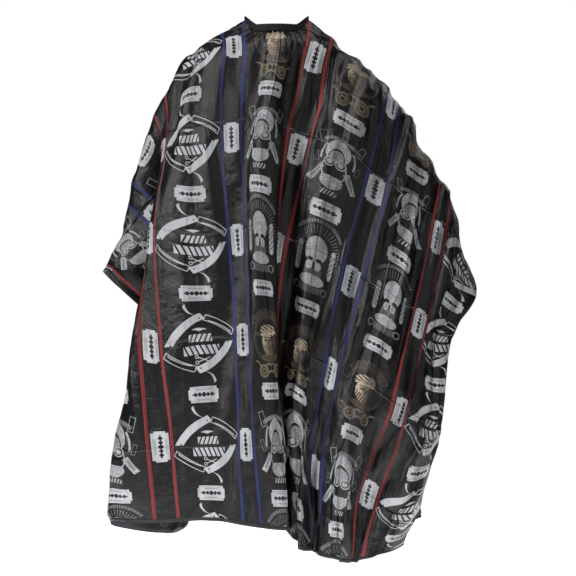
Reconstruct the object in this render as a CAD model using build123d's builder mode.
"""Barber cape: one draped sheet with a gathered elastic neck band that snaps shut at the back.

Millimetres, +Z up. The origin is the middle of the neck opening, level with the front of the
neck band's top edge. The front of the cape faces -Y and its back opening faces +Y.
The cloth pieces are plain solids, thicker than the cloth, with the cape's true outer shape.
"""

import os

from build123d import *

# Neck opening: a half ellipse in front and a flat stretch at the back, where the ends fasten
neck_half_width = 66.0
neck_front = 62.0
neck_back = 62.0
flat_half = 42.0
gap_half = 30.0

# Neck band: a cloth casing round an elastic; its sides stand higher than its front and back
band_height = 17.0
band_rise = 15.0
casing_wall = 1.0
elastic_thickness = 1.6
elastic_clearance = 0.2
casing_thickness = 2 * casing_wall + elastic_thickness + 2 * elastic_clearance

# Draped sheet: how far it drops and how far out it reaches at the places that shape it
cape_drop = 1166.0
shoulder_drop = 134.0
shoulder_left = 233.0
shoulder_right = 262.0
chest_front = 140.0
upper_back = 118.0
wing_left = 380.0
wing_left_drop = 543.0
wing_right = 436.0
wing_right_drop = 592.0
waist_left = 304.0
waist_left_drop = 634.0
waist_right = 351.0
waist_right_drop = 800.0
hem_left = 370.0
hem_right = 322.0
hem_front = 190.0
hem_back = 160.0
above_wing = 0.97
below_wing = 0.95
sheet_wall = 3.0
sheet_fall = 2.0

# Wavy hem line: share of the way to the hem's side, and height above the lowest hem
hem_rises = [
    (-1.16, 76.0),
    (-1.0, 71.0),
    (-0.65, 40.0),
    (-0.4, 92.0),
    (-0.1, 82.0),
    (0.22, 32.0),
    (0.53, 6.0),
    (0.82, 36.0),
    (1.0, 78.0),
    (1.19, 96.0),
]

# Turned hems, back opening and the rows of stitching
hem_width = 12.0
facing_width = 14.0
slit_gap = 4.0
back_flap_drop = 232.0
back_corner_x = 255.0
back_corner_drop = 420.0
right_corner_rise = 40.0
side_edge_x = 170.0
side_edge_left_drop = 603.0
side_edge_right_drop = 592.0
thread = 0.35
stitch_row = 0.6

# Fastening tabs: the over tab swings away from the under tab about the seam at its root
tab_thickness = 1.5
under_tab_reach = 24.0
over_tab_reach = -14.0
tab_corner = 3.0
hinge_gap = 0.3
root_length = flat_half - gap_half
stud_spacing = 18.0
first_stud_x = -22.0
snap_z = -band_height / 2

# Press studs, measured outwards from the cloth that they are set in
post_radius = 1.0
post_clearance = 0.05
flange_radius = 5.0
flange_height = 0.5
stud_neck_radius = 1.45
stud_head_radius = 1.8
stud_neck_height = 0.6
stud_head_height = 0.7
rivet_radius = 4.5
rivet_height = 0.6
socket_radius = 5.5
socket_height = 1.7
socket_floor = 0.4
socket_mouth_radius = 2.3
spring_wire = 0.2
spring_radius = 2.33
cap_radius = 6.0
cap_height = 1.5

under_face = neck_back + tab_thickness
over_face = neck_back + casing_thickness
cap_face = over_face + tab_thickness
reach = 600.0
band_end = neck_half_width + casing_thickness + 2
side_top = band_rise - band_height


def oval_lines(left, right, front, back):
    """A closed outline round the neck's centre; call it inside a BuildLine block."""
    return [
        EllipticalCenterArc((0, 0), left, front, 180, arc_size=90),
        EllipticalCenterArc((0, 0), right, front, 270, arc_size=90),
        EllipticalCenterArc((flat_half, 0), right - flat_half, back, 0, arc_size=90),
        Line((flat_half, back), (-flat_half, back)),
        EllipticalCenterArc((-flat_half, 0), left - flat_half, back, 90, arc_size=90),
    ]


def band_region(low, high):
    """Front view of the band between two levels, both measured from its top edge in front."""
    with BuildSketch(Plane.XZ) as region:
        with BuildLine():
            for side in (-1, 1):
                for level in (low, high):
                    Line((0, level), (side * flat_half, level))
                    TangentArc(
                        (side * flat_half, level),
                        (side * band_end, level + band_rise),
                        tangent=(side, 0),
                    )
                Line((side * band_end, low + band_rise), (side * band_end, high + band_rise))
        make_face()
    return region.sketch


def band_ring(inner, outer, low, high, open_half):
    """A ring that follows the neck, between two distances out from it, open at the back."""
    with BuildPart() as ring:
        with BuildSketch(Plane.XY.offset(-2 * band_height)):
            with BuildLine():
                oval_lines(
                    neck_half_width + outer, neck_half_width + outer, neck_front + outer, neck_back + outer
                )
            make_face()
            with BuildLine():
                oval_lines(
                    neck_half_width + inner, neck_half_width + inner, neck_front + inner, neck_back + inner
                )
            make_face(mode=Mode.SUBTRACT)
        extrude(amount=4 * band_height)
        extrude(band_region(low, high), amount=reach, both=True, mode=Mode.INTERSECT)
        with BuildSketch(Plane.XZ):
            Rectangle(2 * open_half, 6 * band_height)
        extrude(amount=-reach, mode=Mode.SUBTRACT)
    return ring.part


def drape_levels():
    """Height, left, right, front and back of the draped sheet, from the neck down to the hem."""
    neck_out = casing_thickness
    levels = []
    for share in (0.0, 0.05, 0.115, 0.24, 0.42, 0.62, 0.82, 1.0):
        height = side_top - share * (shoulder_drop + side_top)
        below_band = max(0.0, (-band_height - height) / (shoulder_drop - band_height))
        sideways = share**0.55
        outwards = below_band**0.7
        levels.append(
            (
                height,
                neck_half_width + neck_out + (shoulder_left - neck_half_width - neck_out) * sideways,
                neck_half_width + neck_out + (shoulder_right - neck_half_width - neck_out) * sideways,
                neck_front + neck_out + (chest_front - neck_front - neck_out) * outwards,
                neck_back + neck_out + (upper_back - neck_back - neck_out) * outwards,
            )
        )
    ribs_drop = (shoulder_drop + wing_left_drop) / 2
    widths = [
        (ribs_drop, (shoulder_left + wing_left) / 2, (shoulder_right + wing_right) / 2),
        (wing_left_drop, wing_left, above_wing * wing_right),
        (wing_right_drop, (wing_left + waist_left) / 2, wing_right),
        (waist_left_drop, waist_left, below_wing * wing_right),
        (waist_right_drop, waist_left + (hem_left - waist_left) / 3, waist_right),
        ((waist_right_drop + cape_drop) / 2, waist_left + (hem_left - waist_left) * 2 / 3, waist_right),
        (cape_drop, hem_left, hem_right),
    ]
    for drop, left, right in widths:
        lower = ((drop - shoulder_drop) / (cape_drop - shoulder_drop)) ** 0.5
        front = chest_front + (hem_front - chest_front) * lower
        back = upper_back + (hem_back - upper_back) * lower
        levels.append((-drop, left, right, front, back))
    return levels


def drape_solid(inset, fall, overrun):
    """The space inside the draped sheet's outline, shrunk by inset and lowered by fall."""
    levels = drape_levels()
    top = levels[0]
    bottom = levels[-1]
    if overrun:
        levels.insert(0, (top[0] + overrun + fall, *top[1:]))
        levels.append((bottom[0] - overrun, *bottom[1:]))
    with BuildPart() as solid:
        for height, left, right, front, back in levels:
            with BuildSketch(Plane.XY.offset(height - fall)):
                with BuildLine():
                    oval_lines(left - inset, right - inset, front - inset, back - inset)
                make_face()
        loft(ruled=True)
    return solid.part


def hem_region(raise_by):
    """Everything under the wavy hem line, seen from the front, with the line raised."""
    points = []
    for across, rise in hem_rises:
        widest = hem_left if across < 0 else hem_right
        points.append((across * widest, raise_by + rise - cape_drop))
    floor = -cape_drop - reach / 4
    with BuildSketch(Plane.XZ) as region:
        with BuildLine():
            hem = Spline(*points)
            Polyline(hem @ 1, (points[-1][0], floor), (points[0][0], floor), hem @ 0)
        make_face()
    return region.sketch


def back_opening(grow):
    """The opening behind the cape, below the back flap and between the two side edges."""
    floor = -cape_drop - reach / 4
    corners = [
        (0, -back_flap_drop),
        (back_corner_x, right_corner_rise - back_corner_drop),
        (side_edge_x, -side_edge_right_drop),
        (side_edge_x, floor),
        (-side_edge_x, floor),
        (-side_edge_x, -side_edge_left_drop),
        (-back_corner_x, -back_corner_drop),
    ]
    with BuildSketch(Plane.XZ) as region:
        with BuildLine():
            Polyline(*corners, close=True)
        make_face()
        if grow:
            offset(amount=grow, kind=Kind.INTERSECTION)
    return region.sketch


def behind(face):
    """A front-view face carried back from the plane through the neck's centre."""
    with BuildPart() as block:
        extrude(face, amount=-reach)
    return block.part


def through(face):
    """A front-view face carried both ways, through the front and the back."""
    with BuildPart() as block:
        extrude(face, amount=reach, both=True)
    return block.part


def upright_strip(low_x, high_x, low_z, high_z):
    """A front-view rectangle."""
    with BuildSketch(Plane.XZ) as strip:
        with Locations(((low_x + high_x) / 2, (low_z + high_z) / 2)):
            Rectangle(high_x - low_x, high_z - low_z)
    return strip.sketch


def tab_plate(low_x, high_x, face_y, round_side, hole_places):
    """A flat tab in the neck band's line, with rounded corners at one end and post holes."""
    length = high_x - low_x
    middle = (low_x + high_x) / 2
    with BuildPart() as plate:
        with BuildSketch(Plane.XZ.offset(-face_y)) as outline:
            with Locations((middle, snap_z)):
                Rectangle(length, band_height)
            ends = outline.vertices().group_by(Axis.X)
            fillet(ends[0] if round_side < 0 else ends[-1], radius=tab_corner)
            if hole_places:
                with Locations(*[(x, snap_z) for x in hole_places]):
                    Circle(post_radius + post_clearance, mode=Mode.SUBTRACT)
        extrude(amount=-tab_thickness)
    return plate.part


def stitch_frame(low_x, high_x, face_y):
    """A rectangle of stitching that stands on a tab's outer face."""
    inset = 2.0
    with BuildPart() as frame:
        with BuildSketch(Plane.XZ.offset(-face_y)):
            with Locations(((low_x + high_x) / 2, snap_z)):
                Rectangle(high_x - low_x - 2 * inset, band_height - 2 * inset)
                Rectangle(
                    high_x - low_x - 2 * inset - 2 * stitch_row,
                    band_height - 2 * inset - 2 * stitch_row,
                    mode=Mode.SUBTRACT,
                )
        extrude(amount=-thread)
    return frame.part


def turned(places, outline):
    """A half outline of (radius, y) points turned about a stud's own axis, at each place."""
    with BuildPart() as pieces:
        for x in places:
            with BuildSketch(Plane(origin=(x, 0, snap_z), x_dir=(1, 0, 0), z_dir=(0, 0, 1))):
                with BuildLine():
                    Polyline(*outline, close=True)
                make_face()
            revolve(axis=Axis((x, 0, snap_z), (0, 1, 0)))
    return pieces.part


pieces = {}
stud_places = [first_stud_x + stud_spacing * step for step in range(3)]
socket_places = stud_places[1:]

# The draped sheet and its turned edges all come from one thin shell
with BuildPart() as shell:
    add(drape_solid(0, 0, 0))
    add(drape_solid(sheet_wall, sheet_fall, 20), mode=Mode.SUBTRACT)
    add(through(band_region(-band_height, 4 * band_height)), mode=Mode.SUBTRACT)
    add(through(hem_region(0)), mode=Mode.SUBTRACT)
    add(behind(back_opening(0)), mode=Mode.SUBTRACT)
    add(behind(upright_strip(-slit_gap / 2, slit_gap / 2, -reach, reach)), mode=Mode.SUBTRACT)

facing_edge = slit_gap / 2 + facing_width
with BuildPart() as cape_front:
    add(shell.part)
    add(through(hem_region(hem_width)), mode=Mode.SUBTRACT)
    with BuildSketch(Plane.XZ):
        Rectangle(2 * cape_drop, 4 * cape_drop)
    extrude(amount=reach, mode=Mode.INTERSECT)
pieces["cape_front"] = cape_front

with BuildPart() as cape_back:
    add(shell.part)
    add(through(hem_region(hem_width)), mode=Mode.SUBTRACT)
    add(behind(back_opening(hem_width)), mode=Mode.SUBTRACT)
    add(behind(upright_strip(-facing_edge, facing_edge, -reach, reach)), mode=Mode.SUBTRACT)
    with BuildSketch(Plane.XZ):
        Rectangle(2 * cape_drop, 4 * cape_drop)
    extrude(amount=-reach, mode=Mode.INTERSECT)
pieces["cape_back"] = cape_back

with BuildPart() as front_hem:
    add(shell.part)
    add(through(hem_region(hem_width)), mode=Mode.INTERSECT)
pieces["front_hem"] = front_hem

with BuildPart() as back_edges:
    add(shell.part)
    add(through(hem_region(hem_width)), mode=Mode.SUBTRACT)
    add(behind(back_opening(hem_width)), mode=Mode.INTERSECT)

for side, name in ((-1, "left"), (1, "right")):
    corner_rise = 0 if side < 0 else right_corner_rise
    corner = corner_rise - back_corner_drop - hem_width
    outer_x = side * reach
    with BuildPart() as side_hem:
        add(back_edges.part)
        add(
            behind(upright_strip(min(0, outer_x), max(0, outer_x), -2 * cape_drop, corner)),
            mode=Mode.INTERSECT,
        )
    pieces[f"side_hem_{name}"] = side_hem
    with BuildPart() as back_hem:
        add(back_edges.part)
        add(
            behind(upright_strip(min(0, outer_x), max(0, outer_x), corner, reach)),
            mode=Mode.INTERSECT,
        )
    pieces[f"back_hem_{name}"] = back_hem
    edge_x = side * facing_edge
    with BuildPart() as slit_facing:
        add(shell.part)
        add(behind(upright_strip(min(0, edge_x), max(0, edge_x), -reach, reach)), mode=Mode.INTERSECT)
        add(behind(back_opening(hem_width)), mode=Mode.SUBTRACT)
    pieces[f"slit_facing_{name}"] = slit_facing

# Neck band: casing, the elastic inside it and two rows of stitching
tunnel_in = casing_wall
tunnel_out = casing_thickness - casing_wall
with BuildPart() as neck_casing:
    add(band_ring(0, casing_thickness, -band_height, 0, gap_half))
    add(
        band_ring(tunnel_in, tunnel_out, casing_wall - band_height, -casing_wall, gap_half - 1),
        mode=Mode.SUBTRACT,
    )
pieces["neck_casing"] = neck_casing

with BuildPart() as neck_elastic:
    add(
        band_ring(
            tunnel_in + elastic_clearance,
            tunnel_out - elastic_clearance,
            casing_wall + elastic_clearance - band_height,
            -casing_wall - elastic_clearance,
            gap_half,
        )
    )
pieces["neck_elastic"] = neck_elastic

with BuildPart() as casing_stitching:
    for level in (-0.24 * band_height, -0.82 * band_height):
        add(band_ring(casing_thickness, casing_thickness + thread, level - stitch_row, level, flat_half + 1))
pieces["casing_stitching"] = casing_stitching

# Fastening tabs
with BuildPart() as under_tab:
    add(tab_plate(-gap_half, under_tab_reach, neck_back, 1, stud_places))
pieces["under_tab"] = under_tab

with BuildPart() as over_tab_root:
    with BuildSketch(Plane.XZ.offset(-over_face)):
        with Locations((gap_half + root_length / 2, snap_z)):
            Rectangle(root_length, band_height)
    extrude(amount=-tab_thickness)
pieces["over_tab_root"] = over_tab_root

with BuildPart() as over_tab:
    add(tab_plate(over_tab_reach, gap_half - hinge_gap, over_face, -1, socket_places))
pieces["over_tab"] = over_tab

with BuildPart() as over_tab_stitching:
    add(stitch_frame(over_tab_reach, gap_half - hinge_gap, cap_face))
pieces["over_tab_stitching"] = over_tab_stitching

with BuildPart() as root_stitching:
    add(stitch_frame(gap_half, flat_half, cap_face))
pieces["root_stitching"] = root_stitching

with BuildPart() as under_tab_tack:
    with BuildSketch(Plane.XZ.offset(-over_face)):
        with Locations((-gap_half - 2, snap_z)):
            Rectangle(1.5, 0.75 * band_height)
    extrude(amount=-thread)
pieces["under_tab_tack"] = under_tab_tack

# Press studs: rivets and studs in the under tab, sockets, springs and caps in the over tab
stud_neck_top = flange_height + stud_neck_height
stud_top = stud_neck_top + stud_head_height
stud_bore = post_radius + post_clearance
stud_bore_top = under_face + stud_top - socket_floor
with BuildPart() as stud_heads:
    add(
        turned(
            stud_places,
            [
                (stud_bore, under_face),
                (flange_radius, under_face),
                (flange_radius, under_face + flange_height),
                (stud_neck_radius, under_face + flange_height),
                (stud_neck_radius, under_face + stud_neck_top),
                (stud_head_radius, under_face + stud_neck_top + 0.15),
                (stud_head_radius, under_face + stud_top - 0.25),
                (stud_head_radius - 0.3, under_face + stud_top),
                (0, under_face + stud_top),
                (0, stud_bore_top),
                (stud_bore, stud_bore_top),
            ],
        )
    )
pieces["stud_heads"] = stud_heads

with BuildPart() as stud_rivets:
    add(
        turned(
            stud_places,
            [
                (0, neck_back - rivet_height),
                (rivet_radius - 0.4, neck_back - rivet_height),
                (rivet_radius, neck_back - rivet_height / 2),
                (rivet_radius, neck_back),
                (post_radius, neck_back),
                (post_radius, stud_bore_top - post_clearance),
                (0, stud_bore_top - post_clearance),
            ],
        )
    )
pieces["stud_rivets"] = stud_rivets

mouth = over_face - socket_height
groove_low = mouth + 0.2
groove_high = groove_low + 2 * (spring_wire + post_clearance)
groove_radius = spring_radius + spring_wire + post_clearance
with BuildPart() as socket_bodies:
    add(
        turned(
            socket_places,
            [
                (socket_mouth_radius, mouth),
                (socket_radius - 0.6, mouth),
                (socket_radius, mouth + 0.6),
                (socket_radius, over_face),
                (stud_bore, over_face),
                (stud_bore, over_face - socket_floor),
                (socket_mouth_radius, over_face - socket_floor),
                (socket_mouth_radius, groove_high),
                (groove_radius, groove_high),
                (groove_radius, groove_low),
                (socket_mouth_radius, groove_low),
            ],
        )
    )
pieces["socket_bodies"] = socket_bodies

with BuildPart() as socket_springs:
    for x in socket_places:
        with BuildSketch(Plane(origin=(x, 0, snap_z), x_dir=(1, 0, 0), z_dir=(0, 0, 1))):
            with Locations((spring_radius, (groove_low + groove_high) / 2)):
                Circle(spring_wire)
        revolve(axis=Axis((x, 0, snap_z), (0, 1, 0)))
pieces["socket_springs"] = socket_springs

with BuildPart() as socket_caps:
    add(
        turned(
            socket_places,
            [
                (0, over_face - socket_floor + post_clearance),
                (post_radius, over_face - socket_floor + post_clearance),
                (post_radius, cap_face + thread),
                (cap_radius, cap_face + thread),
                (cap_radius, cap_face + thread + 0.4 * cap_height),
                (0.75 * cap_radius, cap_face + thread + 0.85 * cap_height),
                (0.4 * cap_radius, cap_face + thread + cap_height),
                (0, cap_face + thread + cap_height),
            ],
        )
    )
pieces["socket_caps"] = socket_caps

os.makedirs("parts", exist_ok=True)
for name, piece in pieces.items():
    piece.part.label = name
    export_step(piece.part, f"parts/{name}.step")
